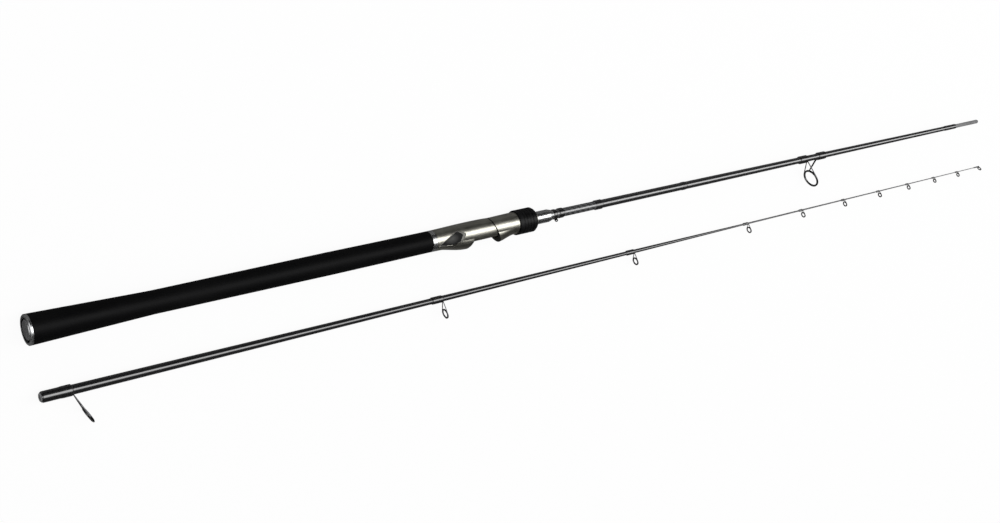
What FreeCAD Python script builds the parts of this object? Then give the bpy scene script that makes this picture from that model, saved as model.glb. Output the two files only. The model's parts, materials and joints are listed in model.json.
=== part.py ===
import FreeCAD, Part
import os
import Sketcher

# A two-piece spinning rod, taken apart and lying on its side.
# X runs from the butt to the tip and Z is up. The guides and the reel side point to -Y.
# The origin is the centre of the butt's end face, on the axis of the butt section.
# The tip section lies beside the butt section, parallel to it, with its guides on -Y too.

V = FreeCAD.Vector
doc = FreeCAD.newDocument("spinning_rod")

# ---------------------------------------------------------------- driving dimensions, mm
DIMS = {
    # butt section: the blank's outside radius at four stations, and its wall
    "blank_rear": 18, "blank_r_rear": 6.1,
    "blank_mid": 604, "blank_r_mid": 5.0,
    "blank_fore": 850, "blank_r_fore": 4.5,
    "blank_front": 1316, "blank_r_front": 2.9,
    "blank_wall": 1.0,
    # male ferrule
    "spigot_r": 2.6, "spigot_reach": 48, "spigot_shank": 40, "spigot_lead": 1.5,
    "spigot_wrap": 24, "spigot_wrap_t": 0.35, "wrap_setback": 0.4,
    # handle
    "butt_r": 14.9, "butt_ring_t": 2.5, "butt_ring_land": 2.9, "butt_ring_round": 0.8,
    "butt_groove": 2.2, "plate_bevel": 0.6,
    "plate_stem_r": 3, "plate_stem": 12, "stem_gap": 0.05, "cap_floor": 1,
    "cap_end": 38, "flare_end": 122, "flare_r": 11.6,
    "grip_swell_x": 315, "grip_swell_r": 12,
    "grip_end": 437, "grip_end_r": 11.5, "sleeve_t": 0.9,
    "grip_ring_t": 6, "grip_ring_bevel": 0.5,
    # reel seat; stations here and up to the bands are measured from the seat's rear end.
    # shell, slanted parting line, land and fixed hood
    "seat_rise_x": 22, "seat_rise_r": 12, "seat_crown_x": 46, "seat_crown_r": 12.4,
    "seat_front_x": 87, "seat_front_wall": 0.7,
    "part_x": 77.6, "part_slope": 0.4, "part_gap": 0.3,
    "arbor_t": 0.5, "land_wall": 1.2, "flat_drop": 0.25,
    "hump_start": 3, "hump_sink": 0.6, "hump_rise_x": 19, "hump_rise_drop": 1.9,
    "hump_x": 35, "hump_r": 12, "hump_drop": 4.5, "hump_mouth_x": 46, "hump_slope": 0.6,
    "foot_w": 15, "foot_roof_w": 8, "foot_side_h": 3, "foot_pocket_h": 5.3, "foot_pocket_d": 13,
    # threaded barrel, windows and arbors
    "barrel_wall": 4.5, "barrel_end": 135, "pitch": 2, "thread_depth": 0.6, "thread_rise": 0.5,
    "thread_start": 91,
    "window_lean": 10, "window_floor": 9.2, "window_bevel": 34, "window_cut": 9,
    "window_mid_x": 23, "window_mid_y": -0.5, "insert_t": 0.8, "insert_shrink": 0.04,
    "arbor_len": 22, "arbor_rear_inset": 3, "arbor_fore_inset": 4,
    # moving hood and locking nut
    "hood_start_x": 69, "hood_waist": 0.7, "hood_end": 108, "hood_wall": 0.95,
    "lip_x": 77, "lip_mouth_x": 85, "lip_waist": 0.4, "lip_drop": 4.9,
    "lip_fall_x": 95, "lip_fall_drop": 2.1, "lip_sink": 0.3, "run_gap": 0.08,
    "nut_len": 25.5, "nut_wall": 3.6, "nut_round": 3, "nut_bevel": 0.6, "nut_gap": 0.3,
    "nut_groove_w": 1.6, "nut_groove_t": 0.7, "nut_groove_step": 4, "nut_groove_start": 5,
    "neck_wall": 1, "neck_len": 3,
    # trim tube and hook keeper
    "trim_wall": 2.2, "trim_start": 135.5, "trim_shoulder": 155, "trim_end": 161, "trim_nose_t": 0.5,
    "keeper_x": 168, "keeper_foot": 13, "keeper_foot_t": 0.45, "keeper_foot_w": 2.4,
    "keeper_lug_w": 2.4, "keeper_lug_h": 2.5, "keeper_lug_t": 1.4, "keeper_pivot_h": 1.55,
    "keeper_wire_r": 0.45, "keeper_loop_w": 5,
    "keeper_wrap_over": 2.5, "keeper_wrap_gap": 0.2,
    # bands on the butt blank, from the seat's rear end too
    "band_rear_x": 223, "band_rear_w": 11, "band_rear_t": 0.75,
    "band_fore_x": 358, "band_fore_w": 7, "band_fore_t": 0.35,
    # stripper guide
    "strip_x": 1019, "strip_lean": 20, "strip_off": 29.5, "strip_r": 12, "strip_sheet": 1.1,
    "strip_foot": 14, "strip_foot_w": 3, "strip_foot_t": 0.6, "strip_front_x": 17,
    "strip_brace_t": 1.6, "strip_ring_t": 1.5, "strip_ring_proud": 1.2,
    # tip section: place of its base, outside radius at four stations
    "tip_x": 7.7, "tip_side": 70.7,
    "tip_r_base": 5,
    "tip_mid": 750, "tip_r_mid": 2.15,
    "tip_fore": 920, "tip_r_fore": 1.05,
    "tip_len": 1378, "tip_r_end": 0.45,
    "tip_wall": 1.2, "tip_solid_x": 700, "tip_base_x": 1.2,
    "liner_len": 60, "ferrule_gap": 0.03,
    "liner_collar": 0.6, "liner_lead": 0.5,
    "ferrule_wrap": 31.2, "ferrule_wrap_t": 0.95, "ferrule_wrap_rear_t": 0.55,
    "ferrule_step_x": 21, "ferrule_step": 2,
    # guide parts
    "hoop_w": 0.75, "leg_ratio": 0.7,
    "ring_seat_gap": 0.02, "ring_share": 0.09, "ring_least": 0.45, "ring_proud": 0.5,
    "ring_round": 0.4,
    "wrap_cover": 0.14, "slot_gap": 0.05, "wrap_taper": 1.2, "wrap_over": 1,
    "tube_wall": 0.35, "tube_len": 8, "tube_end": 1.2, "top_gap": 0.03,
    "top_lean": 35, "top_off": 4.1, "top_r": 3.2, "top_hoop_w": 0.6, "top_sheet": 0.8,
    "top_x": 0.4, "top_neck_w": 1.1, "top_neck_flare": 1.8, "top_ring_t": 0.6,
    "top_wrap": 4, "top_wrap_t": 0.3,
    # how far the outlines of cutting shapes reach past the part
    "past": 40, "past_a_bit": 1,
}

# corners of the reel seat's window: distance from the seat's rear end, height across the seat
WINDOW = [(2.2, -5.6), (26.4, 6.8), (33.6, 1.8), (29.7, -5.7), (18.6, -7.7)]
for number, (along, across) in enumerate(WINDOW, 1):
    DIMS[f"window{number}_x"] = along
    DIMS[f"window{number}_y"] = across

# single-foot guides on the tip section, from the ferrule to the tip: station of the frame, which
# the first has from the section's base and the others back from its end, distance from the
# blank's axis to the ring's centre, hoop radius, lean in degrees, sheet thickness, foot length,
# foot width, and how much wider than the sheet the ring is
GUIDES = [
    (29.5, 32.9, 9.1, 27, 1.0, 22, 2.6, 1.2),
    (927.5, 18.9, 5.8, 11, 0.8, 14, 2.0, 0.8),
    (651, 13.3, 5.0, 11, 0.8, 12, 1.8, 0.7),
    (460.5, 9.4, 4.3, 11, 0.7, 9, 1.2, 0.5),
    (361.5, 7.2, 3.8, 11, 0.6, 7, 1.0, 0.5),
    (281.5, 6.6, 3.6, 11, 0.6, 6.5, 1.0, 0.5),
    (212, 6.0, 3.4, 11, 0.6, 6.5, 0.9, 0.5),
    (152.5, 5.5, 3.2, 11, 0.6, 6, 0.9, 0.5),
    (97, 5.1, 3.0, 11, 0.6, 6, 0.8, 0.5),
    (46, 4.9, 2.9, 11, 0.6, 6, 0.8, 0.5),
]
NUT_GROOVES = 4
GUIDE_FIELDS = ("x", "off", "r", "lean", "sheet", "foot", "foot_w", "proud")
for number, row in enumerate(GUIDES, 1):
    for field, size in zip(GUIDE_FIELDS, row):
        DIMS[f"guide{number:02d}_{field}"] = size
FOOT_THICKNESS = {1: 0.5, 2: 0.4, 3: 0.4}
for number in range(1, len(GUIDES) + 1):
    DIMS[f"guide{number:02d}_foot_t"] = FOOT_THICKNESS.get(number, 0.3)

sheet = doc.addObject("Spreadsheet::Sheet", "dims")
for row, (alias, size) in enumerate(DIMS.items(), 1):
    sheet.set(f"A{row}", alias)
    sheet.set(f"B{row}", str(size))
    sheet.setAlias(f"B{row}", alias)
doc.recompute()


# ---------------------------------------------------------------- expression helpers
def cells(text):
    """The expression with every size's name turned into its cell."""
    out, word = [], ""
    for letter in text + " ":
        if letter.isalnum() or letter == "_":
            word += letter
            continue
        out.append("dims." + word if word in DIMS else word)
        out.append(letter)
        word = ""
    return "".join(out).strip()


def value(text):
    """What an expression comes to, in millimetres."""
    number = sheet.evalExpression(cells(text).replace("dims.", ""))
    return float(getattr(number, "Value", number))


def taper(x, stations):
    """Expression of the radius at x on a line through (place, radius) stations."""
    parts = []
    for (xa, ra), (xb, rb) in zip(stations, stations[1:]):
        parts.append((xb, f"({ra} + ({rb} - {ra}) * (({x}) - {xa}) / ({xb} - {xa}))"))
    text = parts[-1][1]
    for limit, formula in reversed(parts[:-1]):
        text = f"(({x}) < {limit} ? {formula} : {text})"
    return text


def on_seat(station):
    """Place along the butt section of a station that is measured from the seat's rear end."""
    return f"(grip_end + grip_ring_t + {station})"


BUTT_TAPER = [("blank_rear", "blank_r_rear"), ("blank_mid", "blank_r_mid"),
              ("blank_fore", "blank_r_fore"), ("blank_front", "blank_r_front")]
TIP_TAPER = [("0", "tip_r_base"), ("tip_mid", "tip_r_mid"),
             ("tip_fore", "tip_r_fore"), ("tip_len", "tip_r_end")]
FLARE_TAPER = [("0", "butt_r"), ("flare_end", "flare_r"),
               ("grip_swell_x", "grip_swell_r"), ("grip_end", "grip_end_r")]


def butt_r(x):
    return taper(x, BUTT_TAPER)


def tip_r(x):
    return taper(x, TIP_TAPER)


def grip_r(x):
    return taper(x, FLARE_TAPER)


# ---------------------------------------------------------------- modelling helpers
NODES = []


def body(label, x="0", on_tip=False):
    """A new PartDesign body whose local X axis is its section's axis, with its origin at x."""
    new = doc.addObject("PartDesign::Body", label)
    new.Label = label
    place = {"x": x, "y": "0", "z": "0"}
    if on_tip:
        # the largest guide and the butt rest on one floor
        place = {"x": f"tip_x + {x}", "y": "-tip_side", "z": "guide01_r - butt_r"}
    for axis, formula in place.items():
        new.setExpression(f"Placement.Base.{axis}", cells(formula))
    NODES.append(new)
    return new


def sketch(owner, role, offset=None, turn=None):
    """A sketch on an origin plane. offset is along the sketch's own X, Y and normal, as
    expressions; turn is (axis, angle expression)."""
    new = owner.newObject("Sketcher::SketchObject", owner.Name + "_sketch")
    plane = next(o for o in owner.Origin.OriginFeatures if o.Role == role)
    new.AttachmentSupport = [(plane, "")]
    new.MapMode = "FlatFace"
    if turn:
        new.AttachmentOffset = FreeCAD.Placement(V(), FreeCAD.Rotation(turn[0], value(turn[1])))
        new.setExpression("AttachmentOffset.Rotation.Angle", f"({cells(turn[1])}) * 1 deg")
    for axis, formula in zip("xyz", offset or ()):
        new.setExpression(f"AttachmentOffset.Base.{axis}", cells(formula))
    return new


def hold(target, kind, first, first_point, formula, *more):
    """A sized constraint tied to an expression."""
    size = value(formula)
    index = target.addConstraint(Sketcher.Constraint(kind, first, first_point, *more, size))
    target.setExpression(f"Constraints[{index}]", cells(formula))


def polygon(target, points):
    """A closed outline through points given as pairs of expressions."""
    places = [V(value(px), value(py), 0) for px, py in points]
    count = len(places)
    start = target.GeometryCount
    for i in range(count):
        target.addGeometry(Part.LineSegment(places[i], places[(i + 1) % count]))
    for i in range(count):
        follower = start + (i + 1) % count
        target.addConstraint(Sketcher.Constraint("Coincident", start + i, 2, follower, 1))
    for i, (px, py) in enumerate(points):
        hold(target, "DistanceX", -1, 1, px, start + i, 1)
        hold(target, "DistanceY", -1, 1, py, start + i, 1)


def rectangle(target, x0, x1, y0, y1):
    """A closed outline with upright sides, from expressions."""
    polygon(target, [(x0, y0), (x1, y0), (x1, y1), (x0, y1)])


def circle(target, cx, cy, radius):
    """A circle whose centre and radius are expressions."""
    index = target.GeometryCount
    target.addGeometry(Part.Circle(V(value(cx), value(cy), 0), V(0, 0, 1), value(radius)))
    hold(target, "DistanceX", -1, 1, cx, index, 3)
    hold(target, "DistanceY", -1, 1, cy, index, 3)
    size = target.addConstraint(Sketcher.Constraint("Radius", index, value(radius)))
    target.setExpression(f"Constraints[{size}]", cells(radius))


def revolve(owner, points):
    """Adds the solid that a profile of (x, radius) points makes about the local X axis."""
    profile = sketch(owner, "XY_Plane")
    polygon(profile, points)
    turn = owner.newObject("PartDesign::Revolution", owner.Name + "_turn")
    turn.Profile = profile
    turn.ReferenceAxis = (profile, ["H_Axis"])
    turn.Angle = 360
    return turn


def groove(owner, points):
    """Cuts the ring that a profile of (x, radius) points makes about the local X axis."""
    profile = sketch(owner, "XY_Plane")
    polygon(profile, points)
    cut = owner.newObject("PartDesign::Groove", owner.Name + "_groove")
    cut.Profile = profile
    cut.ReferenceAxis = (profile, ["H_Axis"])
    cut.Angle = 360
    return cut


def slab(owner, profile, length, kind="PartDesign::Pad", middle=True, back=False):
    """Pads or pockets a sketch, both ways from its plane or one way only."""
    feature = owner.newObject(kind, owner.Name + "_slab")
    feature.Profile = profile
    feature.setExpression("Length", cells(length))
    feature.Midplane = middle
    feature.Reversed = back
    return feature


def loft(owner, sections):
    """Adds a loft through circles given as (x, centre y, radius)."""
    rings = []
    for x, cy, radius in sections:
        ring = sketch(owner, "YZ_Plane", offset=("0", "0", x))
        circle(ring, cy, "0", radius)
        rings.append(ring)
    skin = owner.newObject("PartDesign::AdditiveLoft", owner.Name + "_loft")
    skin.Profile = rings[0]
    skin.Sections = rings[1:]
    return skin


def cover_over(under, width, depth):
    """How thick a winding is that covers a foot of this width and thickness on a blank."""
    corner = f"sqrt(({under} + {depth} + slot_gap) ^ 2 + ({width} / 2 + slot_gap) ^ 2)"
    return f"({corner} - {under} + wrap_cover)"


def winding(owner, x0, x1, radius, thickness, slot=None):
    """A thread winding with sloped ends around a blank. slot is the foot's width and thickness
    and the radius that it lies on."""
    revolve(owner, [(x0, radius(x0)), (x1, radius(x1)),
                    (f"{x1} - wrap_taper", f"{radius(x1)} + {thickness}"),
                    (f"{x0} + wrap_taper", f"{radius(x0)} + {thickness}")])
    if slot:
        width, depth, under = slot
        channel = sketch(owner, "XY_Plane")
        rectangle(channel, f"{x0} - past_a_bit", f"{x1} + past_a_bit",
                  f"-({under} + {depth} + slot_gap)", f"-({under} - past_a_bit)")
        slab(owner, channel, f"{width} + 2 * slot_gap", "PartDesign::Pocket")


# ---------------------------------------------------------------- butt section: blanks
def make_butt_blank():
    new = body("butt_blank")
    outer = [(x, r) for x, r in BUTT_TAPER]
    inner = [(x, f"{r} - blank_wall") for x, r in reversed(BUTT_TAPER)]
    revolve(new, outer + inner)


def make_spigot():
    """The male ferrule: its shank is glued into the blank's front end."""
    new = body("ferrule_spigot", x="blank_front")
    bore = "(blank_r_front - blank_wall)"
    revolve(new, [("-spigot_shank", "0"), ("spigot_reach", "0"),
                  ("spigot_reach", "spigot_r - spigot_lead / 2"),
                  ("spigot_reach - spigot_lead", "spigot_r"),
                  ("0", "spigot_r"), ("0", bore), ("-spigot_shank", bore)])


def make_spigot_winding():
    new = body("spigot_winding")
    winding(new, "blank_front - spigot_wrap", "blank_front - wrap_setback", butt_r, "spigot_wrap_t")


def make_bands():
    for label, size in (("blank_band_rear", "band_rear"), ("blank_band_front", "band_fore")):
        new = body(label)
        rear = on_seat(f"{size}_x")
        winding(new, rear, f"({rear} + {size}_w)", butt_r, f"{size}_t")


# ---------------------------------------------------------------- butt section: handle
def under_sleeve(x):
    return f"{grip_r(x)} - sleeve_t"


def make_butt_end():
    ring = body("butt_ring")
    rim = "(butt_r - butt_ring_land)"
    revolve(ring, [("0", rim), ("0", "butt_r - butt_ring_round"),
                   ("butt_ring_round", grip_r("butt_ring_round")),
                   ("butt_ring_t", grip_r("butt_ring_t")), ("butt_ring_t", rim)])

    plate = body("butt_plate")
    edge = "(butt_r - butt_ring_land - butt_groove)"
    end = "butt_ring_t + plate_stem"
    revolve(plate, [("0", "0"), ("0", f"{edge} - plate_bevel"), ("plate_bevel", edge),
                    ("butt_ring_t", edge), ("butt_ring_t", "plate_stem_r"),
                    (end, "plate_stem_r"), (end, "0")])

    cap = body("butt_cap")
    hole = "plate_stem_r + stem_gap"
    floor = "blank_rear - cap_floor"
    revolve(cap, [("butt_ring_t", hole), (floor, hole), (floor, butt_r("blank_rear")),
                  ("blank_rear", butt_r("blank_rear")), ("cap_end", butt_r("cap_end")),
                  ("cap_end", grip_r("cap_end")), ("butt_ring_t", grip_r("butt_ring_t"))])


def make_grip():
    stations = ["cap_end", "flare_end", "grip_swell_x", "grip_end"]
    core = body("grip_core")
    revolve(core, [(x, butt_r(x)) for x in ("cap_end", "grip_end")]
            + [(x, under_sleeve(x)) for x in reversed(stations)])
    sleeve = body("grip_sleeve")
    revolve(sleeve, [(x, under_sleeve(x)) for x in stations]
            + [(x, grip_r(x)) for x in reversed(stations)])

    trim = body("grip_ring")
    end = "(grip_end + grip_ring_t)"
    bevelled = "grip_end_r - grip_ring_bevel"
    revolve(trim, [("grip_end", butt_r("grip_end")), (end, butt_r(end)), (end, bevelled),
                   (f"{end} - grip_ring_bevel", "grip_end_r"),
                   ("grip_end + grip_ring_bevel", "grip_end_r"), ("grip_end", bevelled)])


# ---------------------------------------------------------------- butt section: reel seat
SEAT_START = on_seat("0")
BORE = f"({butt_r(SEAT_START)} + arbor_t)"
LAND = f"({BORE} + land_wall)"
FLAT = f"({LAND} - flat_drop)"
BARREL = f"({BORE} + barrel_wall)"
NECK = f"({BARREL} + run_gap + neck_wall)"
HOOD = f"({NECK} + run_gap + hood_wall)"
NUT = f"({BARREL} + nut_wall)"


def cut_below(owner, level, x0, x1):
    """Takes away everything beyond a flat that lies at this level under the axis."""
    flat = sketch(owner, "XY_Plane")
    rectangle(flat, x0, x1, "-past", f"-{level}")
    slab(owner, flat, "2 * past", "PartDesign::Pocket")


def cut_at_parting(owner, gap, far):
    """Takes away everything between the slanted parting line, moved forward by gap, and far."""
    side = sketch(owner, "XY_Plane")
    low = on_seat(f"part_x + {gap} + part_slope * past")
    high = on_seat(f"part_x + {gap} - part_slope * past")
    polygon(side, [(low, "-past"), (high, "past"), (far, "past"), (far, "-past")])
    slab(owner, side, "2 * past", "PartDesign::Pocket")


def foot_pocket(owner, x0, x1, top):
    """The arched space that one end of the reel's foot goes into, from x0 to x1 and up to top."""
    arch = sketch(owner, "YZ_Plane", offset=("0", "0", x0))
    shoulder, roof = f"-({LAND} + foot_side_h)", f"-({LAND} + foot_pocket_h)"
    polygon(arch, [(top, "-foot_w / 2"), (shoulder, "-foot_w / 2"), (roof, "-foot_roof_w / 2"),
                   (roof, "foot_roof_w / 2"), (shoulder, "foot_w / 2"), (top, "foot_w / 2")])
    slab(owner, arch, f"{x1} - ({x0})", "PartDesign::Pocket", middle=False, back=True)


def mirror_across(owner, feature, role):
    doc.recompute()
    pair = owner.newObject("PartDesign::Mirrored", owner.Name + "_pair")
    pair.Originals = [feature]
    pair.MirrorPlane = (next(o for o in owner.Origin.OriginFeatures if o.Role == role), [""])
    owner.Tip = pair


LAND_END = on_seat(f"part_x + part_slope * {LAND}")


def make_seat():
    seat = body("reel_seat_body")
    crown, front, end = on_seat("seat_crown_x"), on_seat("seat_front_x"), on_seat("barrel_end")
    loft(seat, [(SEAT_START, "0", "grip_end_r"), (on_seat("seat_rise_x"), "0", "seat_rise_r"),
                (crown, "0", "seat_crown_r"), (front, "0", f"{BARREL} + seat_front_wall")])
    cut_at_parting(seat, "0", f"{front} + past")
    # barrel under the moving hood and the nut
    shank = sketch(seat, "YZ_Plane", offset=("0", "0", crown))
    circle(shank, "0", "0", BARREL)
    slab(seat, shank, f"{end} - {crown}", middle=False)
    # land for the reel's foot, and the barrel's flat in front of it, which keys the hood
    mouth = on_seat("hump_mouth_x")
    cut_below(seat, LAND, mouth, LAND_END)
    cut_below(seat, FLAT, LAND_END, f"{end} + past_a_bit")
    # fixed hood over the foot's rear end, with a slanted mouth
    loft(seat, [(on_seat("hump_start"), "0", "grip_end_r - hump_sink"),
                (on_seat("hump_rise_x"), "-hump_rise_drop", "(grip_end_r + hump_r) / 2"),
                (on_seat("hump_x"), "-hump_drop", "hump_r"), (mouth, "-hump_drop", "hump_r")])
    slant = sketch(seat, "XY_Plane")
    polygon(slant, [(mouth, f"-{LAND}"),
                    (f"{mouth} - hump_slope * (past - {LAND})", "-past"),
                    (f"{mouth} + past_a_bit", "-past"), (f"{mouth} + past_a_bit", f"-{LAND}")])
    slab(seat, slant, "2 * past", "PartDesign::Pocket")
    foot_pocket(seat, f"{mouth} - foot_pocket_d", mouth, f"-{FLAT}")
    # bore for the blank and its arbors
    bore = sketch(seat, "YZ_Plane", offset=("0", "0", "grip_end"))
    circle(bore, "0", "0", BORE)
    slab(seat, bore, f"{end} - grip_end + past_a_bit", "PartDesign::Pocket",
         middle=False, back=True)
    # thread, as a row of ring grooves
    first = on_seat("thread_start")
    rim, root = f"{BARREL} + thread_rise", f"{BARREL} - thread_depth"
    thread = groove(seat, [(first, rim), (f"{first} + pitch / 2", root), (f"{first} + pitch", rim)])
    doc.recompute()
    rows = seat.newObject("PartDesign::LinearPattern", "thread_rows")
    rows.Originals = [thread]
    rows.Direction = (next(o for o in seat.Origin.OriginFeatures if o.Role == "X_Axis"), [""])
    turns = int(value("barrel_end - thread_start") // value("pitch"))
    rows.Occurrences = turns
    rows.setExpression("Length", cells(f"pitch * {turns - 1}"))
    seat.Tip = rows
    # windows in both sides
    opening = sketch_window(seat, "0")
    cut = slab(seat, opening, "window_cut", "PartDesign::Pocket", middle=False, back=True)
    cut.setExpression("TaperAngle", cells("window_bevel"))
    mirror_across(seat, cut, "XY_Plane")


def sketch_window(owner, shrink):
    """The window's outline on a plane that leans with the seat's shoulder. shrink is the share
    by which each corner is drawn toward the middle."""
    rise = ("0", "window_floor * sin(window_lean * 1 deg)", "window_floor * cos(window_lean * 1 deg)")
    outline = sketch(owner, "XY_Plane", offset=rise, turn=(V(1, 0, 0), "-window_lean"))
    corners = []
    for number in range(1, len(WINDOW) + 1):
        x, y = f"window{number}_x", f"window{number}_y"
        corners.append((on_seat(f"{x} + (window_mid_x - {x}) * {shrink}"),
                        f"{y} + (window_mid_y - {y}) * {shrink}"))
    polygon(outline, corners)
    return outline


def make_window_inserts():
    insert = body("seat_window_inserts")
    outline = sketch_window(insert, "insert_shrink")
    plate = slab(insert, outline, "insert_t", middle=False)
    mirror_across(insert, plate, "XY_Plane")


def make_arbors():
    rear = on_seat("arbor_rear_inset")
    front = on_seat("barrel_end - arbor_fore_inset")
    for label, x0, x1 in (("arbor_rear", rear, f"({rear} + arbor_len)"),
                          ("arbor_front", f"({front} - arbor_len)", front)):
        arbor = body(label)
        revolve(arbor, [(x0, butt_r(x0)), (x1, butt_r(x1)), (x1, BORE), (x0, BORE)])


def make_hood():
    hood = body("movable_hood")
    start, end = on_seat("hood_start_x"), on_seat("hood_end")
    loft(hood, [(start, "0", f"{HOOD} - hood_waist"), (end, "0", HOOD)])
    # lip over the foot's front end
    lip_r = f"{HOOD} - lip_waist"
    loft(hood, [(on_seat("lip_x"), "-lip_drop", lip_r), (on_seat("lip_mouth_x"), "-lip_drop", lip_r),
                (on_seat("lip_fall_x"), "-lip_fall_drop", lip_r), (end, "0", f"{HOOD} - lip_sink")])
    cut_at_parting(hood, "part_gap", f"{start} - past")
    pocket_end = f"({LAND_END} + part_gap + foot_pocket_d)"
    foot_pocket(hood, start, pocket_end, "0")
    # bore over the barrel, with the barrel's flat in front of the pocket
    bore = sketch(hood, "YZ_Plane", offset=("0", "0", f"{start} - past_a_bit"))
    circle(bore, "0", "0", f"{BARREL} + run_gap")
    slab(hood, bore, f"{end} - {start} + 2 * past_a_bit", "PartDesign::Pocket",
         middle=False, back=True)
    step = f"({end} - neck_len - nut_gap)"
    key = sketch(hood, "YZ_Plane", offset=("0", "0", f"{pocket_end} + past_a_bit"))
    flat, key_r = f"({FLAT} + run_gap)", f"(({BARREL} + {HOOD}) / 2)"
    half = f"acos({flat} / {key_r}) / 2"
    edge = f"sqrt({key_r} ^ 2 - {flat} ^ 2)"
    near, side = f"{key_r} * cos({half})", f"{key_r} * sin({half})"
    polygon(key, [(f"-{flat}", edge), (f"-{near}", side), (f"-{key_r}", "0"),
                  (f"-{near}", f"-{side}"), (f"-{flat}", f"-{edge}")])
    slab(hood, key, f"{step} - {pocket_end} - past_a_bit", middle=False)
    # counterbore for the nut's neck
    inside, outside = f"{BARREL} - past_a_bit", f"{NECK} + run_gap"
    groove(hood, [(step, inside), (f"{end} + past_a_bit", inside),
                  (f"{end} + past_a_bit", outside), (step, outside)])


def make_nut():
    nut = body("locking_nut")
    bore = f"({BARREL} + run_gap)"
    back = f"({on_seat('hood_end')} + nut_gap)"
    front = f"({back} + nut_len)"
    neck = f"{back} - neck_len"
    revolve(nut, [(neck, bore), (front, bore), (front, f"{NUT} - nut_round"),
                  (f"{front} - 0.3 * nut_round", f"{NUT} - 0.45 * nut_round"),
                  (f"{front} - nut_round", NUT), (f"{back} + nut_bevel", NUT),
                  (back, f"{NUT} - nut_bevel"), (back, NECK), (neck, NECK)])
    edge, deep = f"{NUT} - 0.4 * nut_groove_t", f"{NUT} - nut_groove_t"
    clear = f"{NUT} + past_a_bit"
    for turn in range(NUT_GROOVES):
        start = f"({back} + nut_groove_start + {turn} * nut_groove_step)"
        end = f"{start} + nut_groove_w"
        groove(nut, [(start, clear), (start, edge), (f"{start} + nut_groove_w / 2", deep),
                     (end, edge), (end, clear)])


def make_trim():
    trim = body("front_trim_tube")
    start, shoulder, end = on_seat("trim_start"), on_seat("trim_shoulder"), on_seat("trim_end")
    full = f"{butt_r(start)} + trim_wall"
    revolve(trim, [(start, butt_r(start)), (end, butt_r(end)), (end, f"{butt_r(end)} + trim_nose_t"),
                   (shoulder, full), (start, full)])


# ---------------------------------------------------------------- butt section: hook keeper
KEEPER = on_seat("keeper_x")
KEEPER_UNDER = f"({butt_r(f'({KEEPER} - keeper_foot / 2)')})"


def make_keeper():
    base = body("hook_keeper_base", x=KEEPER)
    top = KEEPER_UNDER
    foot = sketch(base, "XY_Plane")
    rectangle(foot, "-keeper_foot / 2", "keeper_foot / 2", f"-({top} + keeper_foot_t)", f"-{top}")
    slab(base, foot, "keeper_foot_w")
    lug = sketch(base, "XY_Plane")
    rectangle(lug, "-keeper_lug_w / 2", "keeper_lug_w / 2", f"-({top} + keeper_lug_h)", f"-{top}")
    slab(base, lug, "keeper_lug_t")
    pivot = f"-({top} + keeper_pivot_h)"
    eye = sketch(base, "XY_Plane")
    circle(eye, "0", pivot, "keeper_wire_r + run_gap")
    slab(base, eye, "2 * past", "PartDesign::Pocket")

    # a wire bow that swings on its own straight bar
    loop = body("hook_keeper_loop", x=KEEPER)
    bar = sketch(loop, "XY_Plane")
    circle(bar, "0", pivot, "keeper_wire_r")
    slab(loop, bar, "keeper_loop_w + 2 * keeper_wire_r")
    bow = sketch(loop, "YZ_Plane")
    circle(bow, pivot, "0", "keeper_loop_w / 2 + keeper_wire_r")
    circle(bow, pivot, "0", "keeper_loop_w / 2 - keeper_wire_r")
    slab(loop, bow, "2 * keeper_wire_r")
    half = sketch(loop, "XY_Plane")
    rectangle(half, "-past", "past", f"{pivot} + keeper_wire_r", "past")
    slab(loop, half, "2 * past", "PartDesign::Pocket")

    wraps = body("keeper_windings")
    thick = cover_over(top, "keeper_foot_w", "keeper_foot_t")
    trim_end = on_seat("trim_end")
    spans = ((f"({trim_end} + keeper_wrap_gap)", f"({KEEPER} - keeper_lug_w / 2 - keeper_wrap_gap)"),
             (f"({KEEPER} + keeper_lug_w / 2 + keeper_wrap_gap)",
              f"({KEEPER} + keeper_foot / 2 + keeper_wrap_over)"))
    for start, end in spans:
        winding(wraps, start, end, butt_r, thick, ("keeper_foot_w", "keeper_foot_t", top))


# ---------------------------------------------------------------- guides
def guide_frame(label, at, on_tip, root_r, size):
    """A stamped frame: a leaning hoop on two legs, and a foot that runs back along the blank."""
    frame = body(label, x=at, on_tip=on_tip)
    tilt = (V(0, 1, 0), size["lean"])
    plate, hoop_r, middle = size["sheet"], size["r"], f"-{size['off']}"
    hoop = sketch(frame, "YZ_Plane", turn=tilt)
    circle(hoop, middle, "0", hoop_r)
    circle(hoop, middle, "0", f"{hoop_r} - hoop_w")
    slab(frame, hoop, plate)
    # each leg runs from the foot's edge to where it is tangent to the hoop
    root = f"({root_r} + {size['foot_t']} / 2)"
    leg_root = f"({root} / cos({size['lean']} * 1 deg))"
    touch = f"({hoop_r} / ({size['off']} - {leg_root}))"
    join = f"{middle} + {touch} * {hoop_r}"
    wide = f"{hoop_r} * sqrt(1 - {touch} ^ 2)"
    leg_w = f"leg_ratio * {plate}"
    for side in ("", "-"):
        leg = sketch(frame, "YZ_Plane", turn=tilt)
        polygon(leg, [(f"-{leg_root}", f"{side}({size['foot_w']} / 2)"),
                      (f"-{leg_root}", f"{side}({size['foot_w']} / 2 - {leg_w})"),
                      (join, f"{side}({wide} - {leg_w})"), (join, f"{side}({wide})")])
        slab(frame, leg, plate)
    foot = sketch(frame, "XY_Plane")
    toe = f"({root} * tan({size['lean']} * 1 deg) + {plate} / 2)"
    rectangle(foot, f"-{size['foot']}", toe, f"-({root_r} + {size['foot_t']})", f"-({root_r})")
    slab(frame, foot, size["foot_w"])
    return frame


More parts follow.
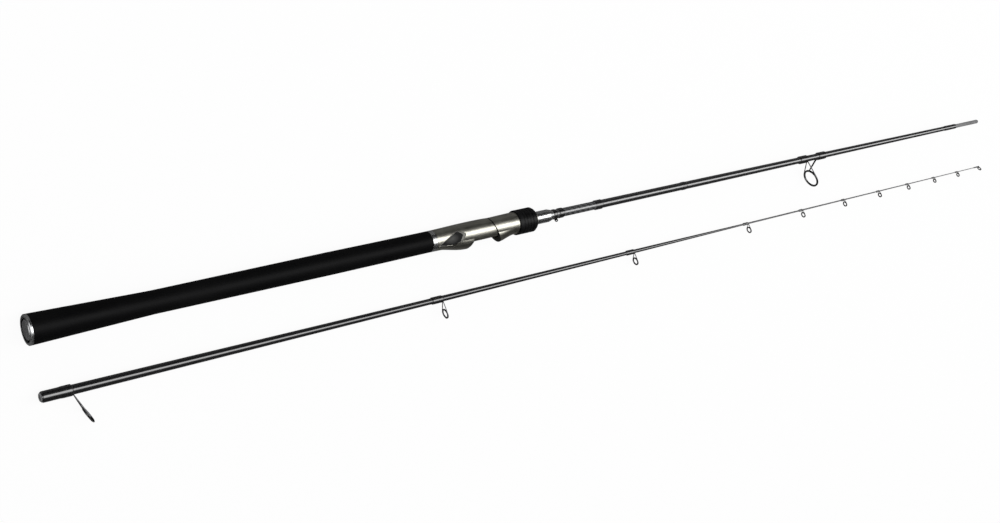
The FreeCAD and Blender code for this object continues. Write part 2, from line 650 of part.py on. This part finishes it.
def ring_pad(label, at, on_tip, size):
    """The ceramic ring that is pressed into a frame's hoop."""
    ring = body(label, x=at, on_tip=on_tip)
    outline = sketch(ring, "YZ_Plane", offset=("0", "0", size.get("set", "0")),
                     turn=(V(0, 1, 0), size["lean"]))
    outer = f"({size['r']} - {size['hoop_w']} - ring_seat_gap)"
    circle(outline, f"-{size['off']}", "0", outer)
    circle(outline, f"-{size['off']}", "0", f"{outer} - {size['ring_t']}")
    pad = slab(ring, outline, f"{size['sheet']} + {size['ring_proud']}")
    doc.recompute()
    soft = ring.newObject("PartDesign::Fillet", label + "_round")
    rims = [f"Edge{i}" for i, edge in enumerate(pad.Shape.Edges, 1) if edge.isClosed()]
    soft.Base = (pad, rims)
    soft.setExpression("Radius", cells(f"ring_round * {size['ring_t']}"))


def make_stripper():
    under = f"({butt_r('(strip_x - strip_foot)')})"
    size = {"off": "strip_off", "r": "strip_r", "lean": "strip_lean", "sheet": "strip_sheet",
            "foot": "strip_foot", "foot_w": "strip_foot_w", "foot_t": "strip_foot_t",
            "hoop_w": "hoop_w", "ring_t": "strip_ring_t", "ring_proud": "strip_ring_proud"}
    frame = guide_frame("stripper_frame", "strip_x", False, under, size)
    # front foot and the brace that runs back from it to the hoop's near side
    heel = "(strip_front_x - past_a_bit)"
    fore = f"({butt_r('(strip_x + strip_front_x)')})"
    front = sketch(frame, "XY_Plane")
    rectangle(front, heel, "strip_front_x + strip_foot", f"-({fore} + strip_foot_t)", f"-{fore}")
    slab(frame, front, "strip_foot_w")
    brace = sketch(frame, "XY_Plane")
    reach = "(strip_off - strip_r + hoop_w / 2)"
    far_x = f"{reach} * sin(strip_lean * 1 deg)"
    far_y = f"-{reach} * cos(strip_lean * 1 deg)"
    polygon(brace, [(heel, f"-({fore} + strip_foot_t / 6)"),
                    (f"{heel} + strip_brace_t", f"-({fore} + strip_foot_t / 6)"),
                    (f"{heel} + strip_brace_t", f"-({fore} + strip_foot_t)"),
                    (f"{far_x} + strip_sheet / 2", far_y), (f"{far_x} - strip_sheet / 2", far_y)])
    slab(frame, brace, "strip_foot_w / 2")
    ring_pad("stripper_ring", "strip_x", False, size)
    wraps = body("stripper_windings")
    for start, end, radius in (
            ("(strip_x - strip_foot - wrap_over)", "(strip_x - strip_sheet / 2)", under),
            ("(strip_x + strip_front_x + strip_brace_t)",
             "(strip_x + strip_front_x + strip_foot + 2 * wrap_over)", fore)):
        thick = cover_over(radius, "strip_foot_w", "strip_foot_t")
        winding(wraps, start, end, butt_r, thick, ("strip_foot_w", "strip_foot_t", radius))


def make_tip_guides():
    for number in range(1, len(GUIDES) + 1):
        tag = f"guide{number:02d}_"
        size = {field: tag + field for field in GUIDE_FIELDS + ("foot_t",)}
        size["hoop_w"] = "hoop_w"
        size["ring_t"] = f"(ring_share * {tag}r + ring_least)"
        size["ring_proud"] = tag + "proud"
        at = "guide01_x" if number == 1 else f"(tip_len - {tag}x)"
        under = f"({tip_r(f'({at} - {tag}foot)')})"
        guide_frame(f"guide_frame_{number:02d}", at, True, under, size)
        ring_pad(f"guide_ring_{number:02d}", at, True, size)
        if number > 1:
            wrap = body(f"guide_winding_{number:02d}", on_tip=True)
            thick = cover_over(under, size["foot_w"], size["foot_t"])
            winding(wrap, f"({at} - {tag}foot - wrap_over)", f"({at} - 0.6 * {tag}sheet)", tip_r,
                    thick, (size["foot_w"], size["foot_t"], under))


def make_tip_top():
    top = body("tip_top_frame", x="tip_len", on_tip=True)
    # the tube over the blank's end is a little wider than the taper under it
    bore = f"({tip_r('(tip_len - tube_len)')} + top_gap)"
    skin = f"{bore} + tube_wall"
    revolve(top, [("-tube_len", bore), ("0", bore), ("0", "0"), ("tube_end", "0"),
                  ("tube_end", f"{bore} + tube_wall / 3"), ("tube_end * 2 / 3", skin),
                  ("-tube_len", skin)])
    tilt = (V(0, 1, 0), "top_lean")
    forward = ("0", "0", "top_x")
    hoop = sketch(top, "YZ_Plane", offset=forward, turn=tilt)
    circle(hoop, "-top_off", "0", "top_r")
    circle(hoop, "-top_off", "0", "top_r - top_hoop_w")
    slab(top, hoop, "top_sheet")
    neck = sketch(top, "YZ_Plane", offset=forward, turn=tilt)
    far = "-(top_off - top_r + top_hoop_w * 2 / 3)"
    polygon(neck, [("0", "-top_neck_w / 2"), ("0", "top_neck_w / 2"),
                   (far, "top_neck_flare / 2"), (far, "-top_neck_flare / 2")])
    slab(top, neck, "top_sheet")
    ring_pad("tip_top_ring", "tip_len", True,
             {"set": "top_x", "lean": "top_lean", "off": "top_off", "r": "top_r",
              "hoop_w": "top_hoop_w", "ring_t": "top_ring_t", "sheet": "top_sheet",
              "ring_proud": "ring_proud"})
    wrap = body("tip_top_winding", on_tip=True)
    winding(wrap, "(tip_len - tube_len - top_wrap)", "(tip_len - tube_len - slot_gap)", tip_r,
            "top_wrap_t")


# ---------------------------------------------------------------- tip section: blank, ferrule
def make_tip_blank():
    blank = body("tip_blank", on_tip=True)
    rear = "(tip_base_x)"
    bore = f"{tip_r('liner_len')} - tip_wall"
    revolve(blank, [(rear, tip_r(rear)), ("tip_mid", "tip_r_mid"), ("tip_fore", "tip_r_fore"),
                    ("tip_len", "tip_r_end"), ("tip_len", "0"), ("tip_solid_x", "0"),
                    ("liner_len", bore), (rear, bore)])


def make_ferrule():
    liner = body("ferrule_liner", on_tip=True)
    bore = "(spigot_r + ferrule_gap)"
    wall = f"({tip_r('liner_len')} - tip_wall)"
    collar = f"{wall} + liner_collar"
    revolve(liner, [("0", f"{bore} + liner_lead"), ("liner_lead", bore), ("liner_len", bore),
                    ("liner_len", wall), ("tip_base_x", wall), ("tip_base_x", collar),
                    ("tip_base_x / 3", collar), ("0", f"{wall} + liner_collar / 3")])
    wrap = body("ferrule_winding", on_tip=True)
    rear, end = "tip_base_x", "ferrule_wrap"
    high = f"{tip_r(end)} + ferrule_wrap_t"
    low = f"{tip_r(rear)} + ferrule_wrap_rear_t"
    revolve(wrap, [(rear, tip_r(rear)), (end, tip_r(end)), (f"{end} - wrap_taper", high),
                   ("ferrule_step_x", high), ("ferrule_step_x - ferrule_step", low),
                   (f"{rear} + wrap_taper", low), (f"{rear} + wrap_taper / 4", tip_r(rear))])
    channel = sketch(wrap, "XY_Plane")
    foot_top = tip_r("(guide01_x - guide01_foot)")
    rectangle(channel, "guide01_x - guide01_foot - slot_gap", "ferrule_wrap + past_a_bit",
              f"-({foot_top} + guide01_foot_t + slot_gap)", f"-({foot_top} - past_a_bit)")
    slab(wrap, channel, "guide01_foot_w + 2 * slot_gap", "PartDesign::Pocket")


# ---------------------------------------------------------------- build, check, write
make_butt_blank()
make_spigot()
make_spigot_winding()
make_bands()
make_butt_end()
make_grip()
make_seat()
make_window_inserts()
make_arbors()
make_hood()
make_nut()
make_trim()
make_keeper()
make_stripper()
make_tip_blank()
make_ferrule()
make_tip_guides()
make_tip_top()
doc.recompute()

faults = [f"{o.Name}: {o.State}" for o in doc.Objects if {"Invalid", "Error"} & set(o.State)]
for node in NODES:
    if node.Shape.isNull() or not node.Shape.isValid():
        faults.append(f"{node.Label}: null or invalid shape")
    elif not node.Shape.Solids:
        faults.append(f"{node.Label}: no solid")
if faults:
    raise RuntimeError("\n".join(faults))

os.makedirs("parts", exist_ok=True)
for node in NODES:
    node.Shape.exportStep(f"parts/{node.Label}.step")
    box = node.Shape.BoundBox
    spans = [f"{axis} {getattr(box, axis + 'Min'):.1f}..{getattr(box, axis + 'Max'):.1f}" for axis in "XYZ"]
    count, volume = len(node.Shape.Solids), node.Shape.Volume
    print(f"{node.Label}: {count} solid(s), {volume:.1f} mm3, " + ", ".join(spans))
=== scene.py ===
import bpy
import json
import math
from mathutils import Matrix, Vector


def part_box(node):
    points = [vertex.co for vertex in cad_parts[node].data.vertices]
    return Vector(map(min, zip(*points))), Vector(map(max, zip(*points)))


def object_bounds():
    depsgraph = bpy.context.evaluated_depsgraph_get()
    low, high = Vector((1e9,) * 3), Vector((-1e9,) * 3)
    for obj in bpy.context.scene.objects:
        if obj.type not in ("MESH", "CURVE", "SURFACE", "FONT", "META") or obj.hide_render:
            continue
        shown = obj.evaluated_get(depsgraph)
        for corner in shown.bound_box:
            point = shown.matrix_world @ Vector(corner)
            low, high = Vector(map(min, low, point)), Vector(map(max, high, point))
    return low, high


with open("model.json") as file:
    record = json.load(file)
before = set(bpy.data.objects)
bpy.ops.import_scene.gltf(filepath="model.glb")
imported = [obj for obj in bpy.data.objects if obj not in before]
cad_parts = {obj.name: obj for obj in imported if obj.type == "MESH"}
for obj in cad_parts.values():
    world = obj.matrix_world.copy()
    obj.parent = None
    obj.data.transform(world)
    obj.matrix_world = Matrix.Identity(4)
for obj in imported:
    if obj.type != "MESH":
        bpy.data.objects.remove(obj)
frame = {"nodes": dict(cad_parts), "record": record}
cad_box = [list(corner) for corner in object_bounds()]

MM = 0.001
TURN = 2 * math.pi


def middle(node):
    """The centre of a CAD node's box."""
    lo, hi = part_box(node)
    return (lo + hi) / 2


BUTT_AXIS = middle("butt_blank")
TIP_AXIS = middle("tip_blank")
FLOOR_Z = cad_box[0][2] - 0.3 * MM

# the slanted parting line between the seat and its movable hood: where it crosses the rod's axis, how
# far it leans along the rod for each metre across it, and the band of painted shade on it, wider than
# the real gap, which stands in for the shadow in that gap
PARTING = 520.9 * MM
PARTING_LEAN = 0.4
SEAM_SHADE_BEHIND = 1.3 * MM
SEAM_SHADE_AHEAD = 0.3 * MM


# ------------------------------------------------------------------ material tools
class Material:
    """A Principled material with short calls for the nodes that feed it."""

    def __init__(self, name, **sockets):
        self.material = bpy.data.materials.new(name)
        self.material.use_nodes = True
        self.tree = self.material.node_tree
        self.shader = self.tree.nodes["Principled BSDF"]
        for socket, number in sockets.items():
            label = socket.replace("_", " ").title().replace("Ior", "IOR")
            self.shader.inputs[label].default_value = number
        self.place = self.node("ShaderNodeTexCoord").outputs["Object"]
        parts = self.node("ShaderNodeSeparateXYZ", Vector=self.place)
        self.x, self.y, self.z = parts.outputs

    def put(self, socket, given):
        """Links a socket to another node's output, or sets its number or colour."""
        if isinstance(given, bpy.types.NodeSocket):
            self.tree.links.new(given, socket)
        else:
            socket.default_value = given

    def node(self, kind, settings=None, **inputs):
        """A new node. Its inputs go by name, or by order as i0, i1 and so on."""
        new = self.tree.nodes.new(kind)
        for key, setting in (settings or {}).items():
            setattr(new, key, setting)
        for key, given in inputs.items():
            by_order = key[0] == "i" and key[1:].isdigit()
            self.put(new.inputs[int(key[1:]) if by_order else key], given)
        return new

    def feed(self, socket, given):
        self.put(self.shader.inputs[socket], given)

    def math(self, operation, a, b=0.0, c=0.0):
        return self.node("ShaderNodeMath", {"operation": operation}, i0=a, i1=b, i2=c).outputs[0]

    def weighed(self, a, share_a, b, share_b):
        """The sum of two values, each times its share."""
        return self.math("ADD", self.math("MULTIPLY", a, share_a), self.math("MULTIPLY", b, share_b))

    def between(self, value, low, high):
        """1 where the value is between low and high, and 0 elsewhere."""
        above = self.math("GREATER_THAN", value, low)
        return self.math("MULTIPLY", above, self.math("LESS_THAN", value, high))

    def span(self, value, low, high, to_low, to_high):
        """The value mapped from one range to another, kept inside it."""
        ends = {"From Min": low, "From Max": high, "To Min": to_low, "To Max": to_high}
        return self.node("ShaderNodeMapRange", Value=value, **ends).outputs[0]

    def stretched(self, *scale):
        """The place on the object, scaled along each axis."""
        return self.node("ShaderNodeMapping", Vector=self.place, Scale=scale).outputs[0]

    def noise(self, scale, detail=3.0, rough=0.5, vector=None):
        return self.node("ShaderNodeTexNoise", Vector=vector or self.place, Scale=scale, Detail=detail,
                         Roughness=rough).outputs["Fac"]

    def cells(self, scale):
        """Rounded cells, 0 at the middle of each."""
        return self.node("ShaderNodeTexVoronoi", Vector=self.place, Scale=scale).outputs["Distance"]

    def angle(self, axis):
        """Turn about a section's axis, from -pi to pi."""
        across = self.math("SUBTRACT", self.y, axis.y)
        return self.math("ARCTAN2", across, self.math("SUBTRACT", self.z, axis.z))

    def radius(self, axis):
        """Distance from a section's axis."""
        across = self.math("SUBTRACT", self.y, axis.y)
        above = self.math("SUBTRACT", self.z, axis.z)
        return self.math("SQRT", self.weighed(across, across, above, above))

    def mixed(self, share, a, b):
        """Colour a, changing to colour b as the share goes from 0 to 1."""
        return self.node("ShaderNodeMix", {"data_type": "RGBA"}, i0=share, i6=a, i7=b).outputs[2]

    def colours(self, value, *stops):
        """A colour ramp through (place, colour) stops."""
        new = self.node("ShaderNodeValToRGB", Fac=value)
        ramp = new.color_ramp
        while len(ramp.elements) < len(stops):
            ramp.elements.new(0.5)
        for element, (place, colour) in zip(ramp.elements, stops):
            element.position = place
            element.color = (*colour, 1)
        return new.outputs["Color"]

    def colour(self, value, *stops):
        """Base colour through (place, colour) stops."""
        self.feed("Base Color", self.colours(value, *stops))

    def roughness(self, value, low, high, at_low, at_high):
        self.feed("Roughness", self.span(value, low, high, at_low, at_high))

    def bump(self, *layers):
        """Bumps from (height, distance in metres, strength), one on top of the other."""
        normal = None
        for height, distance, strength in layers:
            new = self.node("ShaderNodeBump", Height=height, Distance=distance, Strength=strength)
            if normal:
                self.put(new.inputs["Normal"], normal)
            normal = new.outputs[0]
        self.feed("Normal", normal)


# ------------------------------------------------------------------ materials
def carbon_cloth():
    """Twill carbon cloth behind the rear band; plain glossy carbon in front of it."""
    tow_width = 1.9 * MM
    tows_round = 16
    twill = 4.0
    m = Material("carbon_cloth", coat_weight=1.0, coat_ior=2.1, coat_roughness=0.2)
    along = m.math("DIVIDE", m.x, tow_width)
    around = m.math("MULTIPLY", m.angle(BUTT_AXIS), tows_round / TURN)
    steps = m.math("ADD", m.math("FLOOR", along), m.math("FLOOR", around))
    warp = m.math("LESS_THAN", m.math("FLOORED_MODULO", steps, twill), twill / 2)
    weft = m.math("SUBTRACT", 1.0, warp)
    weft_ridge = m.math("SINE", m.math("MULTIPLY", m.math("FRACT", along), math.pi))
    warp_ridge = m.math("SINE", m.math("MULTIPLY", m.math("FRACT", around), math.pi))
    ridge = m.weighed(weft_ridge, weft, warp_ridge, warp)
    fibre = m.noise(260, 4, 0.6, m.stretched(1, 12, 12))
    tow = m.weighed(warp, 0.45, fibre, 0.55)
    cloth = m.colours(tow, (0.15, (0.012, 0.0125, 0.0135)), (0.55, (0.04, 0.0415, 0.044)),
                      (0.95, (0.12, 0.122, 0.127)))
    plain = m.colours(fibre, (0.3, (0.006, 0.006, 0.0065)), (0.8, (0.018, 0.018, 0.019)))
    band_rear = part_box("blank_band_rear")[0].x
    ahead = m.span(m.x, band_rear + 2 * MM, band_rear + 3 * MM, 0.0, 1.0)
    m.feed("Base Color", m.mixed(ahead, cloth, plain))
    rough = m.span(tow, 0.1, 0.9, 0.46, 0.3)
    m.feed("Roughness", m.math("SUBTRACT", rough, m.math("MULTIPLY", ahead, 0.1)))
    weave = m.math("MULTIPLY", ridge, m.math("SUBTRACT", 1.0, ahead))
    m.bump((weave, 0.12 * MM, 0.7), (m.noise(900, 2), 0.01 * MM, 0.4))
    return m.material


def tip_carbon():
    """Glossy lacquered carbon with the faint spiral that the wrapping tape leaves."""
    tape_pitch = 3.2 * MM
    m = Material("tip_carbon", coat_weight=1.0, coat_ior=1.8, coat_roughness=0.09)
    turns = m.math("ADD", m.math("DIVIDE", m.x, tape_pitch), m.math("DIVIDE", m.angle(TIP_AXIS), TURN))
    tape = m.math("PINGPONG", turns, 0.5)
    fibre = m.noise(300, 4, 0.6, m.stretched(0.4, 8, 8))
    m.colour(fibre, (0.3, (0.005, 0.005, 0.0055)), (0.75, (0.016, 0.0165, 0.018)))
    m.roughness(fibre, 0.3, 0.7, 0.22, 0.3)
    m.bump((tape, 0.05 * MM, 0.35), (fibre, 0.01 * MM, 0.4))
    return m.material


def ferrule_carbon():
    """Carbon ground to size and left bare, so matte grey with fine marks round it."""
    m = Material("ferrule_carbon", specular_ior_level=0.35)
    marks = m.noise(1400, 3, 0.6, m.stretched(1, 0.04, 0.04))
    cloud = m.noise(120)
    tone = m.weighed(marks, 0.6, cloud, 0.4)
    m.colour(tone, (0.3, (0.10, 0.10, 0.103)), (0.7, (0.27, 0.27, 0.275)))
    m.roughness(tone, 0.3, 0.7, 0.55, 0.75)
    m.bump((marks, 0.02 * MM, 0.6))
    return m.material


def black_winding():
    """Close turns of thread seen through thick clear epoxy."""
    thread_pitch = 0.22 * MM
    m = Material("black_winding", coat_weight=1.0, coat_ior=1.9, coat_roughness=0.03)
    thread = m.math("SINE", m.math("MULTIPLY", m.x, TURN / thread_pitch))
    tint = m.noise(700, 2, 0.5, m.stretched(1, 0.1, 0.1))
    m.colour(tint, (0.3, (0.002, 0.002, 0.0022)), (0.75, (0.008, 0.008, 0.009)))
    m.roughness(tint, 0.3, 0.7, 0.3, 0.42)
    m.bump((thread, 0.02 * MM, 0.35), (m.noise(160, 2), 0.06 * MM, 0.25))
    return m.material


def handle_rubber():
    """Matte black moulded skin: a fine leathery grain with slow unevenness."""
    m = Material("handle_rubber", specular_ior_level=0.07)
    grain = m.cells(1500.0)
    slow = m.noise(28, 4, 0.55, m.stretched(0.35, 1, 1))
    fine = m.noise(700, 3, 0.6)
    tone = m.weighed(slow, 0.6, fine, 0.4)
    m.colour(tone, (0.35, (0.0016, 0.0016, 0.0018)), (0.65, (0.004, 0.004, 0.0043)))
    m.roughness(tone, 0.35, 0.65, 0.42, 0.56)
    m.bump((grain, 0.05 * MM, 0.35), (fine, 0.04 * MM, 0.35))
    return m.material


def grip_foam():
    """Dull dark foam with open cells."""
    m = Material("grip_foam", specular_ior_level=0.2)
    cells = m.cells(1100.0)
    m.colour(cells, (0.1, (0.02, 0.02, 0.02)), (0.7, (0.06, 0.06, 0.06)))
    m.roughness(cells, 0.0, 0.8, 0.95, 0.8)
    m.bump((cells, 0.12 * MM, 0.7))
    return m.material


def trim_metal():
    """Turned aluminium, bright, with fine tool marks round the axis."""
    m = Material("trim_metal", metallic=1.0)
    line = m.math("ADD", m.radius(BUTT_AXIS), m.x)
    marks = m.node("ShaderNodeTexNoise", {"noise_dimensions": "1D"}, W=line, Scale=2600.0, Detail=4.0,
                   Roughness=0.7).outputs["Fac"]
    haze = m.noise(90)
    m.colour(haze, (0.3, (0.66, 0.67, 0.68)), (0.7, (0.84, 0.845, 0.85)))
    m.roughness(marks, 0.3, 0.7, 0.18, 0.32)
    m.bump((marks, 0.01 * MM, 0.5))
    return m.material


def seat_metal():
    """Warm grey plating over a moulded seat: glossy, with a slight ripple and faint clouds, a painted
    highlight on each window's rim and painted shade along the parting line to the hood.
    """
    bevel_inner = 8.8 * MM
    bevel_outer = 11.4 * MM
    bevel_reach = 3 * MM
    rim_highlight_tone = (0.36, 0.355, 0.33, 1)
    seam_shade_tone = (0.012, 0.012, 0.01, 1)
    m = Material("seat_metal", coat_weight=0.2, coat_roughness=0.12)
    cloud = m.noise(70, 4, 0.55)
    ripple = m.noise(45, 2, 0.4, m.stretched(0.3, 1, 1))
    fleck = m.noise(2400, 2)
    plating = m.colours(cloud, (0.3, (0.45, 0.44, 0.385)), (0.7, (0.57, 0.56, 0.50)))
    gloss = m.math("ADD", m.span(cloud, 0.3, 0.7, 0.28, 0.35), m.math("MULTIPLY", fleck, 0.04))
    # the sunk border of each window gets a paler, matte, unplated finish: a painted highlight standing
    # in for the light its bevelled rim catches
    rear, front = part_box("seat_window_inserts")
    near_window = m.between(m.x, rear.x - bevel_reach, front.x + bevel_reach)
    rim_highlight_band = m.math("MULTIPLY", near_window, m.between(m.radius(BUTT_AXIS), bevel_inner, bevel_outer))
    m.feed("Roughness", m.math("MULTIPLY_ADD", rim_highlight_band, 0.3, gloss))
    m.feed("Metallic", m.math("SUBTRACT", 1.0, rim_highlight_band))
    # painted shade: a dark band on both pieces along the parting line stands in for the shadow in the
    # narrow gap between seat and hood
    slant = m.math("MULTIPLY_ADD", m.y, PARTING_LEAN, m.x)
    seam_shade = m.between(slant, PARTING - SEAM_SHADE_BEHIND, PARTING + SEAM_SHADE_AHEAD)
    m.feed("Base Color", m.mixed(seam_shade, m.mixed(rim_highlight_band, plating, rim_highlight_tone), seam_shade_tone))
    m.bump((ripple, 0.12 * MM, 0.25), (fleck, 0.006 * MM, 0.5))
    return m.material


def window_plate():
    """Dark plate with painted light in the middle of the window, fading to painted shade towards its
    sunk edges.
    """
    squeeze = 0.55
    lit_core = 1 * MM
    lit_edge = 5.5 * MM
    m = Material("window_plate", specular_ior_level=0.1)
    streak = m.noise(260, 3, 0.6, m.stretched(0.3, 1, 1))
    centre = middle("seat_window_inserts")
    along = m.math("MULTIPLY", m.math("SUBTRACT", m.x, centre.x), squeeze)
    across = m.math("SUBTRACT", m.y, centre.y)
    offset = m.node("ShaderNodeCombineXYZ", X=along, Y=across).outputs[0]
    off_centre = m.node("ShaderNodeVectorMath", {"operation": "LENGTH"}, i0=offset).outputs["Value"]
    # painted light and shade: paler in the middle of the window and darker towards its edges, with real
    # streaks on top
    pale = m.span(off_centre, lit_core, lit_edge, 1.0, 0.0)
    shade = m.math("MULTIPLY", pale, m.span(streak, 0.3, 0.7, 0.7, 1.0))
    m.colour(shade, (0.0, (0.003, 0.003, 0.003)), (1.0, (0.08, 0.08, 0.077)))
    m.roughness(streak, 0.3, 0.7, 0.3, 0.45)
    m.bump((streak, 0.03 * MM, 0.4))
    return m.material


def arbor_plastic():
    """Pale dull plastic of the bushes between blank and seat."""
    m = Material("arbor_plastic")
    grain = m.noise(800)
    m.colour(grain, (0.3, (0.55, 0.53, 0.46)), (0.7, (0.74, 0.72, 0.64)))
    m.roughness(grain, 0.3, 0.7, 0.7, 0.85)
    m.bump((grain, 0.08 * MM, 0.5))
    return m.material


def nut_plastic():
    """Black rubber-coated plastic, satin, with a fine stipple."""
    m = Material("nut_plastic", specular_ior_level=0.16)
    stipple = m.cells(1300.0)
    worn = m.noise(120)
    m.colour(worn, (0.3, (0.003, 0.003, 0.0033)), (0.7, (0.007, 0.007, 0.0076)))
    m.roughness(worn, 0.3, 0.7, 0.34, 0.46)
    m.bump((stipple, 0.03 * MM, 0.35))
    return m.material


def guide_steel():
    """Black plated stainless steel: dark, with a bright sheen."""
    m = Material("guide_steel", metallic=1.0, coat_weight=0.3, coat_roughness=0.08)
    tint = m.noise(300)
    m.colour(tint, (0.3, (0.02, 0.02, 0.022)), (0.7, (0.06, 0.06, 0.063)))
    m.roughness(tint, 0.3, 0.7, 0.18, 0.3)
    m.bump((m.noise(1800, 2), 0.008 * MM, 0.5))
    return m.material


def guide_ceramic():
    """Polished near-black ceramic of the guide rings."""
    m = Material("guide_ceramic", coat_weight=0.5, coat_roughness=0.03)
    tint = m.noise(500)
    m.colour(tint, (0.3, (0.010, 0.0105, 0.011)), (0.7, (0.028, 0.029, 0.03)))
    m.roughness(tint, 0.3, 0.7, 0.1, 0.18)
    m.bump((m.noise(2500, 2), 0.004 * MM, 0.4))
    return m.material


FINISHES = [carbon_cloth, tip_carbon, ferrule_carbon, black_winding, handle_rubber, grip_foam,
            trim_metal, seat_metal, window_plate, arbor_plastic, nut_plastic, guide_steel, guide_ceramic]
made = {make.__name__: make() for make in FINISHES}
for part in frame["record"]["subparts"]:
    piece = frame["nodes"][part["node"]]
    if not piece.material_slots:
        piece.data.materials.append(None)
    for held in piece.material_slots:
        held.material = made[part["material_slot"]]


# ------------------------------------------------------------------ floor, cards and world
FLOOR_REACH = 40
FLOOR_TONE = (0.9, 0.9, 0.9, 1)
FLOOR_WHITE_SHARE = 0.93
WORLD_LIGHT = 0.5
WORLD_SEEN = 1.0

# dark cards on both sides and under the rod, seen only in reflections, give gloss its dark edges;
# each is a grey and its two long edges as (y, z)
CARD_REAR = -6
CARD_FRONT = 14
CARDS = [("card_back", 0.025, (1.9, 2.7), (5, 0)),
         ("card_front", 0.05, (-0.6, 2.7), (-5, 0)),
         ("card_under", 0.12, (-5, FLOOR_Z + 0.1 * MM), (5, FLOOR_Z + 0.1 * MM))]
CARD_HIDDEN_FROM = ("camera", "diffuse", "shadow", "transmission", "volume_scatter")


def seen_or_mirrored(tree):
    """1 for camera and glossy rays, and 0 for the rays that carry light."""
    path = tree.nodes.new("ShaderNodeLightPath")
    either = tree.nodes.new("ShaderNodeMath")
    either.operation = "MAXIMUM"
    tree.links.new(path.outputs["Is Camera Ray"], either.inputs[0])
    tree.links.new(path.outputs["Is Glossy Ray"], either.inputs[1])
    return either.outputs[0]


def floor_material():
    """A pale matte floor that camera and glossy rays see mostly as plain white."""
    material = bpy.data.materials.new("floor_white")
    material.use_nodes = True
    tree = material.node_tree
    tree.nodes.clear()
    matte = tree.nodes.new("ShaderNodeBsdfDiffuse")
    matte.inputs["Color"].default_value = FLOOR_TONE
    white = tree.nodes.new("ShaderNodeEmission")
    share = tree.nodes.new("ShaderNodeMath")
    share.operation = "MULTIPLY"
    share.inputs[1].default_value = FLOOR_WHITE_SHARE
    tree.links.new(seen_or_mirrored(tree), share.inputs[0])
    mix = tree.nodes.new("ShaderNodeMixShader")
    tree.links.new(share.outputs[0], mix.inputs[0])
    tree.links.new(matte.outputs[0], mix.inputs[1])
    tree.links.new(white.outputs[0], mix.inputs[2])
    out = tree.nodes.new("ShaderNodeOutputMaterial")
    tree.links.new(mix.outputs[0], out.inputs["Surface"])
    return material


def card_material(name, grey):
    """A flat matte grey without any gloss."""
    material = bpy.data.materials.new(name)
    material.use_nodes = True
    matte = material.node_tree.nodes["Principled BSDF"].inputs
    matte["Base Color"].default_value = (grey, grey, grey, 1)
    matte["Roughness"].default_value = 1.0
    matte["Specular IOR Level"].default_value = 0.0
    return material


def stage_sheet(name, corners, material):
    """A flat sheet of the studio, which is no piece of the rod."""
    mesh = bpy.data.meshes.new(name)
    mesh.from_pydata(corners, [], [tuple(range(len(corners)))])
    mesh.materials.append(material)
    sheet = bpy.data.objects.new(name, mesh)
    bpy.context.scene.collection.objects.link(sheet)
    return sheet


def white_world():
    """White all round: at full strength where it is seen or mirrored, and weaker as light."""
    world = bpy.data.worlds.new("studio")
    world.use_nodes = True
    tree = world.node_tree
    background = tree.nodes["Background"]
    background.inputs["Color"].default_value = (1, 1, 1, 1)
    level = tree.nodes.new("ShaderNodeMapRange")
    level.inputs["To Min"].default_value = WORLD_LIGHT
    level.inputs["To Max"].default_value = WORLD_SEEN
    tree.links.new(seen_or_mirrored(tree), level.inputs["Value"])
    tree.links.new(level.outputs[0], background.inputs["Strength"])
    return world


floor_corners = [(-FLOOR_REACH, -FLOOR_REACH, FLOOR_Z), (FLOOR_REACH, -FLOOR_REACH, FLOOR_Z),
                 (FLOOR_REACH, FLOOR_REACH, FLOOR_Z), (-FLOOR_REACH, FLOOR_REACH, FLOOR_Z)]
stage_sheet("floor", floor_corners, floor_material())
for name, grey, edge, far_edge in CARDS:
    card_corners = [(CARD_REAR, *edge), (CARD_FRONT, *edge),
                    (CARD_FRONT, *far_edge), (CARD_REAR, *far_edge)]
    card = stage_sheet(name, card_corners, card_material(name, grey))
    for ray in CARD_HIDDEN_FROM:
        setattr(card, "visible_" + ray, False)
bpy.context.scene.world = white_world()


# ------------------------------------------------------------------ lamp and camera
CAMERA_PLACE = (-0.40188, 0.49495, 1.28716)
CAMERA_RIGHT = Vector((0.808678, -0.003502, 0.588236))
CAMERA_UP = Vector((0.190619, 0.947581, -0.256411))
FOCAL_MM = 54.325
SENSOR_MM = 36


def softbox(name, place, target, width, length, watts):
    """A rectangular area lamp that faces its target."""
    lamp = bpy.data.lights.new(name, "AREA")
    lamp.shape = "RECTANGLE"
    lamp.size = width
    lamp.size_y = length
    lamp.energy = watts
    box = bpy.data.objects.new(name, lamp)
    bpy.context.scene.collection.objects.link(box)
    box.location = place
    box.rotation_euler = (Vector(target) - Vector(place)).to_track_quat("-Z", "Y").to_euler()


def rod_camera():
    """The camera, above and behind the butt, looking down along both sections."""
    lens = bpy.data.cameras.new("camera")
    lens.lens = FOCAL_MM
    lens.sensor_width = SENSOR_MM
    lens.clip_start = 0.01
    lens.clip_end = 100
    camera = bpy.data.objects.new("camera", lens)
    bpy.context.scene.collection.objects.link(camera)
    back = CAMERA_RIGHT.cross(CAMERA_UP)
    turn = Matrix((CAMERA_RIGHT, CAMERA_UP, back)).transposed().to_4x4()
    camera.matrix_world = Matrix.Translation(CAMERA_PLACE) @ turn
    return camera


softbox("key_box", place=(2.4, 0.7, 2.6), target=(2.4, 0.2, 0), width=6.4, length=1.6, watts=78)
bpy.context.scene.camera = rod_camera()
bpy.context.scene.view_settings.view_transform = "Standard"

bpy.context.view_layer.update()
